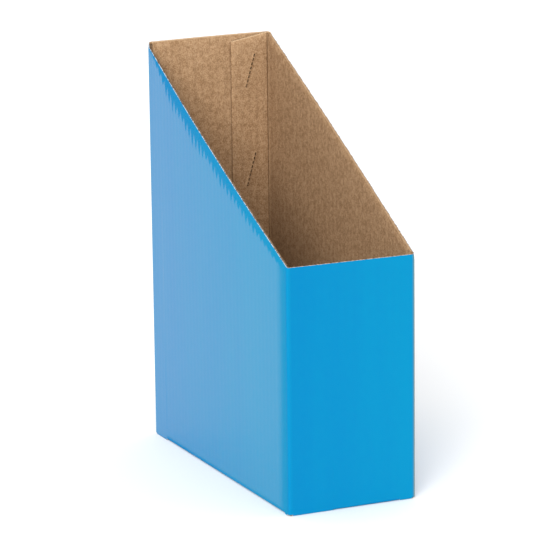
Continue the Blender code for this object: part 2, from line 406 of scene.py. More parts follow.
# the fineness of each pattern, in cells for each metre
CLOUD, GRAIN, FIBRE, SPECK = 260.0, 1900.0, 1500.0, 820.0
STREAK, MOTTLE, INK_GRAIN = 60.0, 130.0, 900.0
TOOTH_CLUSTER, TOOTH_VARIETY = 30.0, 170.0
CORE_FIBRE, CORE_GAP = 1800.0, 420.0
BUBBLE = 900.0
FLOOR_CLOUD = 3.0

# how high each pattern stands out
GRAIN_RELIEF, INK_RELIEF, CORE_RELIEF, BUBBLE_RELIEF = (h * MM for h in (0.09, 0.012, 0.08, 0.05))

# painted light: the ink is paler toward one end of each panel, as if lit more brightly there
PAINTED_LIGHT_DRIFT = 5.0  # the share of the ink's tone lost for each metre along a panel
INK_SPECULAR, KRAFT_SPECULAR, CORE_SPECULAR, FLOOR_SPECULAR = 0.04, 0.25, 0.2, 0.1
COAT_ROUGHNESS, COAT_IOR = 0.16, 1.5


def kraft(name, light=1.0, flute_shade=0.10, torn=0.65):
    """Unbleached paper: mottled pulp, short fibres, dark specks, and faint lines of painted shade at the
    flutes.

    light multiplies its colours, and flute_shade is the strength of the painted shade at the flutes. Along a
    cut edge, where its fibres stand out, it is paler by the share torn.
    """
    m = Nodes(name)
    place = m.layer("board")
    u = m.split(place)["X"]
    cloud = m.noise(place, CLOUD, 4.0, 0.65)
    grain = m.noise(m.stretched(place, 1.0, 0.6, 1.0), GRAIN, 3.0, 0.8)
    fibre = m.noise(m.stretched(place, 1.0, 0.22, 1.0), FIBRE, 2.0, 0.6)
    speck = m.noise(place, SPECK, 2.0)
    tone = m.math("ADD", m.math("MULTIPLY", cloud, 0.3), m.math("MULTIPLY", grain, 0.7))
    pale, deep = (tuple(c * light for c in colour) for colour in (KRAFT_LIGHT, KRAFT_DARK))
    colour = m.mix(m.step(tone, 0.41, 0.59), deep, pale)
    colour = m.mix(m.math("MULTIPLY", m.step(fibre, 0.60, 0.74), 0.45), colour, KRAFT_FIBRE)
    colour = m.mix(m.math("MULTIPLY", m.step(speck, 0.64, 0.74), 0.55), colour, KRAFT_SPECK)
    # painted shade: faint dark lines at the flute pitch
    if flute_shade:
        colour = m.mix(m.math("MULTIPLY", m.flutes(u), flute_shade), colour, KRAFT_SPECK)
    if torn:
        below = m.split(m.layer("marks"))["X"]
        edge = m.line(m.step(below, *TORN_REACH), -torn, torn)
        colour = m.mix(edge, colour, tuple(c * TORN_LIGHT for c in KRAFT_FIBRE))
    m.bump(grain, GRAIN_RELIEF, 0.8)
    rough = m.line(grain, 0.15, 0.78)
    return m.finish(Base_Color=colour, Roughness=rough, Specular_IOR_Level=KRAFT_SPECULAR)


def printed(name, gloss, coat_stops=False, worn=False):
    """Cyan ink, paler toward one end of a panel as painted light, under a clear coat of weight gloss.

    Where coat_stops, the coat ends short of the slanted edge and of the front. Where worn, the ink is
    rubbed off the last part of a crease and grey board shows through.
    """
    m = Nodes(name)
    place = m.layer("board")
    u = m.split(place)["X"]
    streak = m.noise(m.stretched(place, 1.0, 0.05, 1.0), STREAK, 3.0, 0.55)
    mottle = m.noise(place, MOTTLE, 4.0, 0.6)
    # painted light: a tone gradient along the panel that stands in for uneven lighting
    painted_light = m.line(u, -PAINTED_LIGHT_DRIFT, 0.5)
    tone = m.math("ADD", m.math("MULTIPLY", streak, 0.3), m.math("MULTIPLY", mottle, 0.2))
    tone = m.math("ADD", tone, m.math("MULTIPLY", painted_light, 0.5))
    colour = m.mix(m.step(tone, 0.2, 0.8), BLUE_DEEP, BLUE)
    coat = m.line(mottle, 0.08 * gloss, 0.9 * gloss)
    if coat_stops:
        coat = m.math("MULTIPLY", coat, coat_mask(m, place, u))
    if worn:
        turned = m.split(m.layer("marks"))["Z"]
        edge = m.math("ADD", turned, m.line(streak, 0.2, -0.1))
        rubbed = m.line(m.step(edge, 0.02, 0.42), 0.85, 0.0)
        colour = m.mix(rubbed, colour, WORN_INK)
        coat = m.math("MULTIPLY", coat, m.line(rubbed, -1.0, 1.0))
    m.bump(m.noise(place, INK_GRAIN, 3.0, 0.6), INK_RELIEF, 0.5)
    return m.finish(
        Base_Color=colour,
        Roughness=m.line(mottle, 0.2, 0.4),
        Specular_IOR_Level=INK_SPECULAR,
        Coat_Weight=coat,
        Coat_Roughness=COAT_ROUGHNESS,
        Coat_IOR=COAT_IOR,
    )


def coat_mask(m, place, u):
    """The share of the clear coat on a side wall. Its upper end has a tooth at each flute."""
    marks = m.split(m.layer("marks"))
    below, fore = marks["X"], marks["Y"]
    width = m.line(fore, -BARE_TAPER, BARE_WIDTH)
    across = m.stretched(place, 1.0, 0.0, 1.0)
    cluster = m.step(m.noise(across, TOOTH_CLUSTER), 0.38, 0.62)
    ragged = m.line(m.noise(across, TOOTH_VARIETY), 1.0, 0.3)
    longest = m.line(fore, -TOOTH_THINS * TOOTH, TOOTH)
    teeth = m.math("MULTIPLY", m.flutes(u), m.math("MULTIPLY", ragged, longest))
    teeth = m.math("MULTIPLY", teeth, m.line(cluster, 0.5, 0.5))
    margin = m.math("MULTIPLY", m.step(fore, 0.0, BARE_RISE), m.math("ADD", width, teeth))
    share = m.step(m.math("SUBTRACT", below, margin), 0.0, COAT_FADE)
    share = m.math("MULTIPLY", share, m.step(m.math("SUBTRACT", COAT_LENGTH, fore), 0.0, FRONT_FADE))
    return m.math("MULTIPLY", share, m.line(fore, -COAT_THINS, 1.0))


def paper_core(name):
    """The torn edge of the printed liner: white fibres with thin grey gaps and wider brown ones."""
    m = Nodes(name)
    place = m.add("ShaderNodeTexCoord").outputs["Object"]
    fibre = m.noise(place, CORE_FIBRE, 3.0, 0.7)
    gap = m.noise(place, CORE_GAP, 2.0, 0.6)
    colour = m.mix(m.step(fibre, 0.35, 0.60), PAPER_GAP, PAPER_CORE)
    colour = m.mix(m.math("MULTIPLY", m.step(gap, 0.50, 0.58), 0.85), colour, KRAFT_SPECK)
    m.bump(fibre, CORE_RELIEF, 0.6)
    rough = m.line(fibre, 0.1, 0.85)
    return m.finish(Base_Color=colour, Roughness=rough, Specular_IOR_Level=CORE_SPECULAR)


def adhesive_finish(name):
    """Dried white glue, slightly yellow and glossy, with small bubbles."""
    m = Nodes(name)
    place = m.add("ShaderNodeTexCoord").outputs["Object"]
    bubble = m.noise(place, BUBBLE, 2.0)
    colour = m.mix(m.step(bubble, 0.4, 0.6), GLUE_DEEP, GLUE_PALE)
    m.bump(bubble, BUBBLE_RELIEF, 0.6)
    return m.finish(Base_Color=colour, Roughness=m.line(bubble, 0.3, 0.2))


# ==========================================================
# Plies
# ==========================================================
def crush(below):
    """How far a ply is pressed in at a distance below a cut edge."""
    return CRUSH * (1 - smooth(below / CRUSH_REACH))


def columns(low, high, kinks=()):
    """Places across a panel, ten to a flute, with one at every kink of its outline."""
    kept = np.array(sorted({low, high, *(k for k in kinks if low < k < high)}))
    even = np.arange(math.ceil(low / COLUMN), math.floor(high / COLUMN) + 1) * COLUMN
    apart = np.abs(even[:, None] - kept[None, :]).min(axis=1) > COLUMN / 4
    return np.sort(np.concatenate([kept, even[apart]]))


class Outline:
    """A panel's outline: how high each column starts and ends above the panel's foot."""

    def __init__(self, panel, head, low=None, high=None):
        self.panel, self.head = panel, head
        self.low = panel.u_low if low is None else low
        self.high = panel.u_high if high is None else high
        self.kinks, self.feet = [], []
        self.bulge = BULGE if panel.name in ("left_wall", "right_wall") else 0.0

    def raise_foot(self, low, high, height):
        """The ply starts at a height between two places, where a crease takes over from it."""
        self.kinks += [low - HAIR, low + HAIR, high - HAIR, high + HAIR]
        self.feet.append((low, high, height))
        return self

    def grid(self, middle, fray, seed, short=0.0):
        """Arrays of u, v and the distance below the head. short stops every column before the head."""
        u = columns(self.low, self.high, self.kinks)
        foot = np.zeros_like(u)
        for low, high, height in self.feet:
            foot = np.where((u > low) & (u < high), height, foot)
        head = self.head(u)
        top = head - short + fray * jitter(u, seed)
        v = foot[:, None] + rows(np.maximum(top - foot, LEAST_COLUMN), middle)
        return np.repeat(u[:, None], v.shape[1], axis=1), v, np.maximum(head[:, None] - v, 0.0)


def settle(outline, u, v):
    """1 in the middle of a wall and 0 at its ends and foot, so that neighbours meet there."""
    ends = smooth((u - outline.low) / SETTLE_REACH) * smooth((outline.high - u) / SETTLE_REACH)
    return ends * smooth(v / (2 * SETTLE_REACH))


def layers(outline, u, v, seed):
    """The board and marks layers of a grid of points."""
    panel = outline.panel
    place = panel.points(u, v, np.zeros_like(u))
    below = np.maximum(outline.head(u[:, 0])[:, None] - v, 0.0)
    board = np.stack([u, v, np.full_like(u, seed * SEED_STEP)], axis=-1)
    marks = np.stack([below, CAD_BOX[1].y - place[..., 1], np.zeros_like(u)], axis=-1)
    return board, marks


def ply_depths(outline, u, v, below, seed, relief=None):
    """How far behind the panel's outer face the board's two faces lie. relief adds to the inner one."""
    pressed = crush(below)
    still = settle(outline, u, v)
    tip = 0.5 - 0.5 * np.cos(math.tau * u / PITCH)
    slow = WAVINESS * 0.5 * (1 + unevenness(u, v, seed)) * still
    half_turn = math.pi / 2 * np.clip(u / outline.high, -1, 1)
    bow = outline.bulge * np.cos(half_turn) * smooth(v / BACK.height)
    outer = pressed + WASHBOARD * tip * still + slow - bow
    inner = BOARD - pressed * INNER_CRUSH - WASHBOARD * (1 - tip) * still - bow
    if relief:
        inner = inner + relief(u, v)
    return outer, np.maximum(inner, outer + 2 * LINER + MEDIUM)


def outer_liner(outline, seed, finishes, node):
    """The liner on the board's outer face."""
    u, v, below = outline.grid(LINER_ROWS, FRAY * 0.5, seed)
    outer, _ = ply_depths(outline, u, v, below, seed)
    front = outline.panel.points(u, v, outer)
    back = outline.panel.points(u, v, outer + LINER)
    piece = slab(f"{outline.panel.name}_liner_out", front, back, *layers(outline, u, v, seed), finishes)
    return settle_piece(piece, outline.panel.body, node)


def inner_liner(outline, seed, finishes, node, middle=LINER_ROWS, relief=None):
    """The kraft liner on the board's inner face."""
    u, v, below = outline.grid(middle, FRAY * 1.5, seed + 50, FRAY)
    _, inner = ply_depths(outline, u, v, below, seed, relief)
    front = outline.panel.points(u, v, inner - LINER)
    back = outline.panel.points(u, v, inner)
    name = f"{outline.panel.name}_liner_in"
    piece = slab(name, front, back, *layers(outline, u, v, seed + 0.5), finishes)
    return settle_piece(piece, outline.panel.body, node)


def fluting(outline, seed, finish, node, relief, short):
    """The wavy paper between the liners. relief is that of the inner liner, which presses on it."""
    u, v, below = outline.grid(MEDIUM_ROWS, FRAY * 1.5, seed + 90, short)
    outer, inner = ply_depths(outline, u, v, below, seed, relief)
    low, high = outer + LINER, inner - LINER
    swing = (high - low - MEDIUM) / 2
    phase = math.tau * u / PITCH
    depth = (low + high) / 2 + swing * np.cos(phase)
    slope = -swing * math.tau / PITCH * np.sin(phase)
    length = np.sqrt(1 + slope**2)
    du, dw = -slope / length * MEDIUM / 2, 1 / length * MEDIUM / 2
    front = outline.panel.points(u - du, v, depth - dw)
    back = outline.panel.points(u + du, v, depth + dw)
    board, marks = layers(outline, u, v, seed + 0.2)
    piece = slab(f"{outline.panel.name}_medium", front, back, board, marks, [finish] * 3)
    return settle_piece(piece, outline.panel.body, node)


def settle_piece(piece, body, node):
    """The piece rides on its body and stands for its CAD node."""
    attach(piece, body)
    if node:
        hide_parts(node)
    return piece


# ==========================================================
# Creases
# ==========================================================
def arc(centre, radii, start, end, square=1.0):
    """Points on an arc about centre between two angles in degrees, in a plane of two coordinates.

    radii are those along the two. square under 1 pulls a quarter turn out toward its corner.
    """
    turns = [(math.cos(a), math.sin(a)) for a in np.radians(np.linspace(start, end, ARC_STEPS + 1))]
    return [
        tuple(c + r * math.copysign(abs(t) ** square, t) for c, r, t in zip(centre, radii, turn))
        for turn in turns
    ]


def offset_path(path, thickness):
    """A path beside path, to the left of its run where thickness is above 0."""
    points = np.array(path)
    run = np.gradient(points, axis=0)
    run /= np.linalg.norm(run, axis=1)[:, None]
    return points + thickness * np.stack([-run[:, 1], run[:, 0]], axis=1)


def upright_crease(name, path, thickness, head, seed, finishes):
    """A strip that stands along a path of x, y. It is thickness deep to the left of the path's run."""
    outer = np.array(path)
    inner = offset_path(path, thickness)
    top = np.array([head(y) for _, y in outer])
    v = CREASE_FOOT + rows(top - CREASE_FOOT, LINER_ROWS)
    below = top[:, None] - v
    along = np.concatenate([[0], np.cumsum(np.linalg.norm(np.diff(outer, axis=0), axis=1))])
    toward = (inner - outer) / np.linalg.norm(inner - outer, axis=1)[:, None]
    pressed = crush(below)[..., None] * toward[:, None, :]
    front = np.concatenate([outer[:, None, :] + pressed, v[..., None]], axis=-1)
    back = np.concatenate([inner[:, None, :] + pressed, v[..., None]], axis=-1)
    u = np.repeat(along[:, None], v.shape[1], axis=1)
    board = np.stack([u, v, np.full_like(u, seed * SEED_STEP)], axis=-1)
    marks = np.stack([below, CAD_BOX[1].y - front[..., 1], u / along[-1]], axis=-1)
    return slab(name, front, back, board, marks, finishes)


def level_crease(name, path, thickness, across, place, seed, finishes):
    """A strip that lies along a base edge. path holds (inward, up) from the wall's face.

    place gives the row frame's x, y, z from arrays of distance across, inward and up.
    """
    outer, inner = np.array(path), offset_path(path, thickness)
    a = np.linspace(*across, max(2, int(abs(across[1] - across[0]) / CREASE_STEP)))
    front = place(a[:, None], outer[None, :, 0], outer[None, :, 1])
    back = place(a[:, None], inner[None, :, 0], inner[None, :, 1])
    along = np.concatenate([[0], np.cumsum(np.linalg.norm(np.diff(outer, axis=0), axis=1))])
    u = np.repeat(a[:, None], len(along), axis=1)
    v = np.repeat(along[None, :], len(a), axis=0)
    board = np.stack([u, v, np.full_like(u, seed * SEED_STEP)], axis=-1)
    return slab(name, front, back, board, np.ones_like(board), finishes)


# ==========================================================
# The object
# ==========================================================
KRAFT = kraft("kraft_liner")
KRAFT_BACK = kraft("kraft_liner_back", 0.9, 0.0)
# painted shade: the kraft liner made 10% darker for the right wall's inner face
KRAFT_PAINTED_SHADE = kraft("kraft_liner_painted_shade", 0.9, torn=0.3)
KRAFT_EDGE = kraft("kraft_cut_edge", 1.2, 0.0)
SOFT_EDGE = kraft("kraft_soft_edge", 1.1, 0.0, 0.2)
FIBRE_EDGE = kraft("kraft_bright_edge", 1.7, 0.0)
# painted shade: kraft at a third of its tone, for the dark inside open flute cells and cuts
CUT_PAINTED_SHADE = kraft("kraft_cut_painted_shade", 0.32, 0.0, 0.0)
MEDIUM_PAPER = kraft("fluting_paper", 0.82, 0.0, 0.0)
PRINT_FACE = printed("printed_liner_face", 0.04)
PRINT_CREASE = printed("printed_liner_crease", 0.04, worn=True)
PRINT_SIDE = printed("printed_liner_side", 0.79, coat_stops=True)
CORE_EDGE = paper_core("printed_liner_cut_edge")
GLUE = adhesive_finish("dried_glue")

# the looks of a ply's outer face, inner face and rim
PRINTED_PLY = (PRINT_FACE, KRAFT_BACK, CORE_EDGE)
PRESSED_PLY = (KRAFT_BACK, KRAFT, MEDIUM_PAPER)

# a cut edge: the looks of the fluting and of the inner liner's rim, and how far the fluting stops short
DULL_CUT = (MEDIUM_PAPER, MEDIUM_PAPER, 6 * FRAY)
# the left wall's cut edge has its fluting and inner rim in painted shade, for its shadowed flute cells
DARK_CUT = (CUT_PAINTED_SHADE, CUT_PAINTED_SHADE, 20 * FRAY)
FRESH_CUT = (KRAFT_EDGE, KRAFT_EDGE, FRAY)
SOFT_CUT = (SOFT_EDGE, SOFT_EDGE, FRAY)
PALE_CUT = (FIBRE_EDGE, FIBRE_EDGE, FRAY)

UP = (0, 0, 1)
FRONT = Panel("front_wall", "front_wall", UP, (0, 1, 0))
BACK = Panel("back_wall", "back_wall", UP, (0, -1, 0))
LEFT = Panel("left_wall", "left_wall", UP, (1, 0, 0))
RIGHT = Panel("right_wall", "right_wall", UP, (-1, 0, 0))
GLUE_FLAP = Panel("glue_flap", "back_wall", UP, (0, -1, 0))


def slanted_top(y, side):
    """The height at y of a side wall's upper edge. side is -1 for the left wall and 1 for the right."""
    front, back = CAD_BOX[0].y, CAD_BOX[1].y
    run, rise = back - front, BACK.top - FRONT.top
    if side < 0:
        t = (y - front) / run
        return FRONT.top + (rise - LEFT_DROP) * t - 4 * LEFT_SAG * t * (1 - t)
    return FRONT.top + (rise + BACK_RISE) * np.minimum((y - front) / (run - RIGHT_LEVEL), 1.0)


def front_head(u):
    """The front wall's upper edge. Every head gives its height above the panel's foot at u."""
    return np.full_like(u, FRONT.height)


def back_head(u):
    """The back wall's upper edge, which rises toward the right corner."""
    share = (u - BACK.u_low) / (BACK.u_high - BACK.u_low)
    return BACK.height + BACK_RISE * np.sin(math.pi / 2 * share)


def side_head(panel):
    """A side wall's slanted upper edge."""
    side = -panel.w_axis[0]
    return lambda u: slanted_top(u * panel.u_axis[1], side) - panel.foot


def profile_head(profile):
    """The free edge of a base flap or tab, from its corners in mm."""
    across, length = (np.array(values) * MM for values in zip(*profile))
    return lambda u: np.interp(u, across, length)


def glue_flap_head(u):
    """The glue flap's upper edge, which slopes down to its free edge."""
    slope = FLAP_TOP_DROP / (GLUE_FLAP.u_high - GLUE_FLAP.u_low)
    return GLUE_FLAP.height + FLAP_RISE - (GLUE_FLAP.u_high - u) * slope


def groove(distance):
    """The relief of a pressed line at a distance across it."""
    return -SCORE_DEPTH * np.exp(-((distance / SCORE_WIDTH) ** 2))


def score_lines(u, v):
    """The score line at the right wall's corner with the glue flap, and the shallow one beside it."""
    corner = RIGHT.u_low + CORNER
    return CORNER_SCORE * groove(u - corner) + groove(u - corner - SCORE_OFFSET)


def flap_edges(u, v):
    """How the glue flap's inner face is pressed down along its crease and two cut edges."""
    free = smooth((u - GLUE_FLAP.u_low) / FREE_EDGE_REACH) - 1
    top = smooth((glue_flap_head(u) - v) / TOP_EDGE_REACH) - 1
    score = FLAP_SCORE * groove(GLUE_FLAP.u_high - u)
    return FREE_EDGE_CRUSH * free + TOP_EDGE_CRUSH * top + score


def build_board(name, outlines, seed, face, cut=DULL_CUT, inside=KRAFT, relief=None):
    """The three plies of a panel. outlines are those of its outer liner and of the plies behind it."""
    front, behind = outlines
    medium, rim, short = cut
    outer_liner(front, seed, (face, KRAFT_BACK, CORE_EDGE), f"{name}_outer_liner")
    fluting(behind, seed, medium, f"{name}_flute", relief, short)
    inner_liner(behind, seed, (KRAFT_BACK, inside, rim), f"{name}_inner_liner", relief=relief)


# ---- the walls -------------------------------------------
LONG_HINGE = [LONG_FLAP[0][0] * MM, LONG_FLAP[-1][0] * MM]  # a long flap's crease, along its own u
SHORT_HINGE = [SHORT_FLAP[0][0] * MM, SHORT_FLAP[-1][0] * MM - HINGE_STOP]


def build_walls():
    build_wall(FRONT, 0, front_head, (CORNER, CORNER), PRINT_FACE, PALE_CUT)
    build_wall(BACK, 1, back_head, (CORNER, 0.0), PRINT_FACE, FRESH_CUT)
    build_wall(LEFT, 2, side_head(LEFT), (0.0, 0.0), PRINT_SIDE, DARK_CUT)
    build_wall(RIGHT, 3, side_head(RIGHT), (CORNER, 0.0), PRINT_SIDE, SOFT_CUT, KRAFT_PAINTED_SHADE, score_lines)


def build_wall(panel, seed, head, room, face, cut, inside=KRAFT, relief=None):
    """A wall, with room left for the upright creases at its ends and for the base crease at its foot."""
    if panel in (LEFT, RIGHT):
        hinge, feet = LONG_HINGE, (CORNER + BASE_LIFT, CORNER + BASE_LIFT)
    else:
        hinge, feet = SHORT_HINGE, (LOBE, SHORT_FLAP_RISE + BASE_LIFT)
    low, high = panel.u_low + room[0], panel.u_high - room[1]
    outlines = [Outline(panel, head, low, high).raise_foot(-hinge[1], -hinge[0], foot) for foot in feet]
    build_board(panel.name, outlines, seed, face, cut, inside, relief)


# ---- the upright corners ---------------------------------
def build_upright_creases():
    """The four upright corners: a bent printed liner round pressed board."""
    x, y = CAD_BOX[1].x - CORNER, CAD_BOX[1].y - CORNER
    end = LEFT.u_high  # where the side walls' plies start
    corners = [
        ("front_left", (-x, -y), 180, ("left_wall", "front_wall"), PRINT_FACE, MEDIUM_PAPER),
        ("front_right", (x, -y), 270, ("front_wall", "right_wall"), PRINT_CREASE, MEDIUM_PAPER),
        # the back left corner's pressed board has its rim in painted shade, so its top shows a dark cell
        ("back_left", (-x, y), 90, ("back_wall", "left_wall"), PRINT_SIDE, CUT_PAINTED_SHADE),
        ("back_right", (x, end - CORNER), 0, ("right_wall",), PRINT_FACE, MEDIUM_PAPER),
    ]
    for seed, (name, centre, angle, bodies, printed_look, core_rim) in enumerate(corners, 10):
        opened = len(bodies) == 1
        square = FOLD_SQUARE if opened else CORNER_SQUARE
        face = arc(centre, (CORNER, CORNER), angle, angle + 90, square)
        start, stop = face[0], face[-1]
        if name == "front_left":
            face = [(start[0], -end), *face]
        elif not opened:
            face = [*face, (stop[0], math.copysign(end, centre[1]))]
        core = arc(centre, (CORE, CORE), angle, angle + 90)
        top = corner_top(math.copysign(1, centre[0]))
        looks = (printed_look, KRAFT_BACK, KRAFT_EDGE if opened else CORE_EDGE)
        liner = upright_crease(f"crease_{name}_liner", face, LINER, top, seed, looks)
        looks = (KRAFT_BACK, KRAFT, core_rim)
        lower_top = lambda y: top(y) - CORE_DROP
        pressed = upright_crease(f"crease_{name}_core", core, CORE - HOLLOW, lower_top, seed, looks)
        hang_crease(liner, bodies, (*start, 0.0), (*stop, 0.0))
        hang_crease(pressed, bodies, (*start, 0.0), (*stop, 0.0))


def hang_crease(piece, bodies, start, stop):
    """The piece rides on the only body, or with two bodies stays fixed where it is. start and stop are not
    used.
    """
    if len(bodies) == 1:
        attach(piece, bodies[0])
    else:
        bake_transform(piece)


def build_corner_bead():
    """The edge of the back right fold, which shows beside the back wall's cut end.

    The right wall turns about its middle, so it keeps the corner closed in every pose.
    """
    pivot = (CAD_BOX[1].x, CAD_BOX[1].y - BOARD)
    path = arc(pivot, (BEAD, BEAD), 180, 420)
    looks = (KRAFT_BACK, KRAFT_BACK, KRAFT_EDGE)
    top = lambda y: BACK.top - CORE_DROP
    bead = upright_crease("crease_back_right_bead", path, BEAD_SKIN, top, 14, looks)
    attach(bead, "back_wall")


def corner_top(side):
    """The height of the upright creases' upper edges on one side of the object, as a function of y."""
    end = CAD_BOX[1].y - CORNER
    back_top = BACK.top + max(side, 0) * BACK_RISE

    def top(y):
        turned = smooth((y - end) / CORNER)
        return (1 - turned) * slanted_top(min(y, end), side) + turned * back_top

    return top


# ---- the base --------------------------------------------
def build_base():
    """The base flaps, and on the short ones the glue tabs."""
    flat = [
        ("base_flap_left", "base_flap_left", (1, 0, 0), LONG_FLAP),
        ("base_flap_right", "base_flap_right", (-1, 0, 0), LONG_FLAP),
        ("base_flap_front", "base_flap_front", (0, 1, 0), SHORT_FLAP),
        ("base_flap_back", "base_flap_back", (0, -1, 0), SHORT_FLAP),
        ("glue_tab_left", "base_flap_back", (0, -1, 0), GLUE_TAB),
        ("glue_tab_right", "base_flap_front", (0, 1, 0), GLUE_TAB),
    ]
    for seed, (name, body, rise, profile) in enumerate(flat, 20):
        panel = Panel(name, body, rise, UP)
        outline = Outline(panel, profile_head(profile))
        outline.kinks += [across * MM for across, _ in profile]
        build_board(name, (outline, outline), seed, PRINT_FACE)


def build_long_crease(side, wall):
    """A side wall's base crease: a quarter turn to under the long flap."""
    centre = (CORNER, CORNER + BASE_LIFT)
    face = [*arc(centre, centre, 180, 270, CORNER_SQUARE), (CORNER + LAP, 0.0)]
    core = arc(centre, (CORE, CORE), 180, 270)
    across, place = [side * y for y in LONG_HINGE], side_place(side)
    liner = level_crease(f"crease_base_{wall}_liner", face, LINER, across, place, 30, PRINTED_PLY)
    pressed = level_crease(f"crease_base_{wall}_core", core, CORE - HOLLOW, across, place, 31, PRESSED_PLY)
    for piece, slot_name in ((liner, "printed_liner"), (pressed, "kraft_liner")):
        bodies = (f"{wall}_wall", f"base_flap_{wall}")
        hang_crease(piece, bodies, place(0.0, *face[0]), place(0.0, *face[-2]))


def build_short_crease(side, wall):
    """The front or back wall's base crease: under the long flaps' level, then up to the short flap."""
    bend = CORNER + BASE_LIFT - LOBE
    inner = LOBE + bend
    face = [
        *arc((LOBE, LOBE), (LOBE, LOBE), 180, 270, CORNER_SQUARE),
        *arc((LOBE, bend), (bend, bend), 270, 360)[1:],
        (inner, SHORT_FLAP_RISE - LAP),
        (inner + LAP, SHORT_FLAP_RISE),
    ]
    across, place = [-side * x for x in SHORT_HINGE], end_place(side)
    liner = level_crease(f"crease_base_{wall}_liner", face, LINER, across, place, 32, PRINTED_PLY)
    bodies = (f"{wall}_wall", f"base_flap_{wall}")
    hang_crease(liner, bodies, place(0.0, inner, LOBE), place(0.0, *face[-1]))


def side_place(side):
    """Places on a side wall's base crease from distances along y, inward and up."""
    wall = side * CAD_BOX[1].x
    return lambda a, inward, up: np.stack(np.broadcast_arrays(wall - side * inward, a, up), axis=-1)


def end_place(side):
    """The same for the front and back walls, along x."""
    wall = side * CAD_BOX[1].y
    return lambda a, inward, up: np.stack(np.broadcast_arrays(a, wall - side * inward, up), axis=-1)


# ---- the glue flap ---------------------------------------
def slant_lines():
    """The ends of each perforated slant, as (u, v) on the glue flap, upper end first."""
    corner = BACK.u_high - BOARD
    for i in range(SLANTS):
        top = BACK.top - SLANT_FIRST_DROP - i * SLANT_PITCH - GLUE_FLAP.foot
        yield (corner - SLANT_TOP_INSET, top), (corner - SLANT_FOOT_INSET, top - SLANT_HEIGHT)


def slant_cuts():
    """The two ends of every cut."""
    for upper, lower in slant_lines():
        upper, lower = np.array(upper), np.array(lower)
        run = (lower - upper) / np.linalg.norm(lower - upper)
        for t in np.linspace(0, 1, SLANT_CUTS):
            middle = upper + (lower - upper) * t
            yield middle - run * CUT_LENGTH / 2, middle + run * CUT_LENGTH / 2


def cut_rims(u, v):
    """How far the liner stands up round the cuts."""
    total = np.zeros_like(u)
    for first, last in slant_cuts():
        run = last - first
        t = np.clip(((u - first[0]) * run[0] + (v - first[1]) * run[1]) / (run @ run), 0, 1)
        away = np.hypot(u - first[0] - t * run[0], v - first[1] - t * run[1])
        total = np.maximum(total, RIM_HEIGHT * np.exp(-((away / RIM_REACH) ** 2)))
    return total


def cutter_mesh():
    """One prism with round ends for each cut, and one for the round hole at each slant's lower end."""
    verts, faces = [], []
    shapes = [(first, last, CUT_WIDTH / 2) for first, last in slant_cuts()]
    for upper, lower in slant_lines():
        run = np.subtract(lower, upper)
        run = run / np.linalg.norm(run)
        shapes.append((lower + run * HOLE_DROP, lower + run * (HOLE_DROP + END_HOLE / 4), END_HOLE))
    for first, last, radius in shapes:
        run = math.atan2(*(last - first)[::-1])
        around = [run + math.radians(a) for a in (-90, -45, 0, 45, 90)]
        ring = [last + radius * np.array([math.cos(a), math.sin(a)]) for a in around]
        ring += [first - radius * np.array([math.cos(a), math.sin(a)]) for a in around]
        start, n = len(verts), len(ring)
        for depth in CUT_DEPTHS:
            verts += [GLUE_FLAP.points(*(np.array(c) for c in (u, v, depth))).tolist() for u, v in ring]
        for i in range(n):
            j = (i + 1) % n
            faces.append([start + i, start + j, start + n + j, start + n + i])
        faces += [list(range(start, start + n)), list(range(start + n, start + 2 * n))]
    mesh = bpy.data.meshes.new("cuts")
    mesh.from_pydata(verts, [], faces)
    # the cuts' walls are in painted shade, for the dark inside the slots
    mesh.materials.append(CUT_PAINTED_SHADE)
    turn_outward(mesh)
    return mesh


def build_glue_flap():
    """The glue flap, with its cuts taken out of the fluting and the inner liner."""
    outline = Outline(GLUE_FLAP, glue_flap_head)
    seed = 5
    outer_liner(outline, seed, (KRAFT, KRAFT_BACK, KRAFT_EDGE), "glue_flap_outer_liner")
    medium = fluting(outline, seed, KRAFT_EDGE, "glue_flap_flute", flap_edges, 0.0)
    liner = inner_liner(
        outline,
        seed,
        (KRAFT_BACK, KRAFT, FIBRE_EDGE),
        "glue_flap_inner_liner",
        middle=PERFORATED_ROWS,
        relief=lambda u, v: flap_edges(u, v) + cut_rims(u, v),
    )
    cuts = bpy.data.objects.new("cuts", cutter_mesh())
    bpy.context.scene.collection.objects.link(cuts)
    for piece in (medium, liner):
        perforate(piece, cuts)
        restamp(piece, outline, seed)
    bpy.data.objects.remove(cuts)


def perforate(piece, cuts):
    """Takes the cuts out of the piece's mesh. Their walls keep the cutter's material, which is painted
    shade.
    """
    cut = piece.modifiers.new("cuts", "BOOLEAN")
    cut.operation, cut.solver = "DIFFERENCE", "MANIFOLD"
    cut.material_mode, cut.object = "TRANSFER", cuts
    bpy.context.view_layer.update()
    mesh = bpy.data.meshes.new_from_object(piece.evaluated_get(bpy.context.evaluated_depsgraph_get()))
    piece.modifiers.clear()
    piece.data = mesh


def restamp(piece, outline, seed):
    """Writes the board and marks layers again, after points were added to a piece of a flat panel."""
    panel, mesh = outline.panel, piece.data
    co = np.empty(len(mesh.vertices) * 3, np.float32)
    mesh.vertices.foreach_get("co", co)
    co = co.reshape(-1, 3).astype(float)
    u, v = (co @ panel.u_axis)[:, None], (co @ panel.v_axis - panel.foot)[:, None]
    for name, values in zip(("board", "marks"), layers(outline, u, v, seed + 0.5)):
        if name in mesh.attributes:
            mesh.attributes.remove(mesh.attributes[name])
        store(mesh, name, values)


# ---- glue ------------------------------------------------
FILM_ROWS = 12
EDGE_WOBBLE, END_WOBBLE = 0.06, 0.03  # the unevenness of a film's sides and ends, as shares of its size
EDGES_APART = 20 * MM  # keeps the unevenness of two opposite sides different
FINER = 4  # that unevenness is this many times finer than a wall's
EDGE_THINNING, EDGE_POWER = 0.8, 6  # the share of a film's thickness lost at its edge, and how suddenly


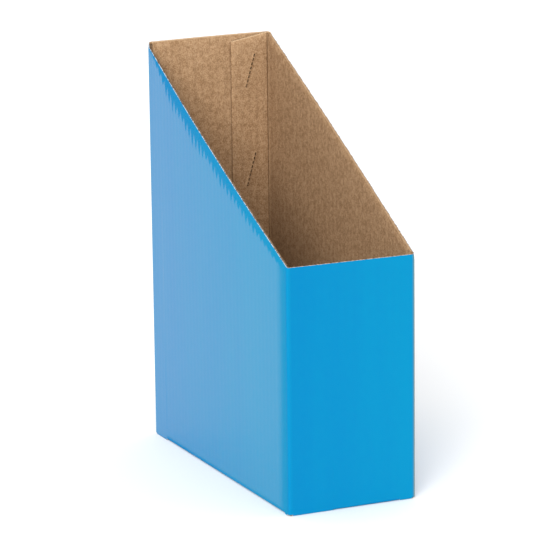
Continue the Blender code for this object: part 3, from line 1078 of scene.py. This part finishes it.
def glue_film(node, body, seed):
    """A film of glue in the place of its CAD node, thick in the middle and with an uneven outline."""
    low, high = (np.array(c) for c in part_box(node))
    centre, half = (low + high) / 2, (high - low) / 2
    thin = int(np.argmin(half))
    long, wide = sorted((i for i in range(3) if i != thin), key=lambda i: -half[i])
    along = np.linspace(-1, 1, max(FILM_ROWS, int(half[long] / MM)))
    a, b = np.meshgrid(along, np.linspace(-1, 1, FILM_ROWS), indexing="ij")
    wobble = 1 - EDGE_WOBBLE * (1 - unevenness(a * half[long] * FINER, np.sign(b) * EDGES_APART, seed))
    inset = 1 - END_WOBBLE * (1 - unevenness(np.sign(a) * EDGES_APART, b * half[wide] * FINER, seed + 1))
    swell = 1 - EDGE_THINNING * np.maximum(np.abs(a), np.abs(b)) ** EDGE_POWER
    sides = []
    for side in (-1, 1):
        points = np.empty((*a.shape, 3))
        points[..., long] = centre[long] + a * half[long] * inset
        points[..., wide] = centre[wide] + b * half[wide] * wobble
        points[..., thin] = centre[thin] + side * half[thin] * swell
        sides.append(points)
    board = np.stack([a, b, np.full_like(a, seed)], axis=-1)
    piece = slab(node.replace("adhesive", "glue"), *sides, board, board, [GLUE] * 3)
    settle_piece(piece, body, node)


# ==========================================================
# The room
# ==========================================================
def floor():
    """A pale floor, wide enough to fill the view behind the object."""
    m = Nodes("pale_floor")
    place = m.add("ShaderNodeTexCoord").outputs["Object"]
    cloud = m.noise(place, FLOOR_CLOUD, 2.0)
    colour, rough = m.mix(cloud, FLOOR_DARK, FLOOR_LIGHT), m.line(cloud, 0.1, 0.7)
    m.finish(Base_Color=colour, Roughness=rough, Specular_IOR_Level=FLOOR_SPECULAR)
    mesh = bpy.data.meshes.new("floor")
    ways = ((-1, -1), (1, -1), (1, 1), (-1, 1))
    mesh.from_pydata([(x * FLOOR_HALF, y * FLOOR_HALF, FLOOR_LEVEL) for x, y in ways], [], [range(4)])
    mesh.materials.append(m.material)
    obj = bpy.data.objects.new("floor", mesh)
    bpy.context.scene.collection.objects.link(obj)


def sunlight(name, toward, strength, spread):
    """An even light from a direction, as soft as a softbox of that many degrees."""
    light = bpy.data.lights.new(name, "SUN")
    light.energy, light.angle = strength, math.radians(spread)
    obj = bpy.data.objects.new(name, light)
    obj.rotation_euler = (-Vector(toward)).to_track_quat("-Z", "Y").to_euler()
    bpy.context.scene.collection.objects.link(obj)


def sky(strength):
    world = bpy.data.worlds.new("studio")
    world.use_nodes = True
    background = world.node_tree.nodes["Background"]
    background.inputs["Color"].default_value = (1.0, 1.0, 1.0, 1.0)
    background.inputs["Strength"].default_value = strength
    bpy.context.scene.world = world


def camera():
    """Stands in front of the left front corner, a little above it, with a long lens."""
    back = Vector(
        (
            math.sin(AZIMUTH) * math.cos(ELEVATION),
            -math.cos(AZIMUTH) * math.cos(ELEVATION),
            math.sin(ELEVATION),
        )
    )
    level = Vector((math.cos(AZIMUTH), math.sin(AZIMUTH), 0.0))
    rise = back.cross(level)
    right = level * math.cos(ROLL) + rise * math.sin(ROLL)
    up = rise * math.cos(ROLL) - level * math.sin(ROLL)
    lens = bpy.data.cameras.new("camera")
    lens.lens, lens.sensor_width = LENS, 36.0
    obj = bpy.data.objects.new("camera", lens)
    middle = Vector((0, 0, BACK.top / 2))
    place = middle + back * CAMERA_DISTANCE + level * AIM_RIGHT + rise * AIM_UP
    turn = [[right[i], up[i], back[i], place[i]] for i in range(3)] + [[0, 0, 0, 1]]
    obj.matrix_world = Matrix(turn)
    bpy.context.scene.collection.objects.link(obj)
    bpy.context.scene.camera = obj


build_walls()
build_upright_creases()
build_corner_bead()
build_base()
for side, wall in ((-1, "left"), (1, "right")):
    build_long_crease(side, wall)
for side, wall in ((-1, "front"), (1, "back")):
    build_short_crease(side, wall)
build_glue_flap()
glue_film("glue_flap_adhesive", "back_wall", 40)
glue_film("glue_tab_left_adhesive", "base_flap_back", 41)
glue_film("glue_tab_right_adhesive", "base_flap_front", 42)

floor()
sky(SKY_STRENGTH)
sunlight("key", KEY_TOWARD, KEY_STRENGTH, KEY_SPREAD)
camera()
bpy.context.scene.view_settings.view_transform = "Standard"
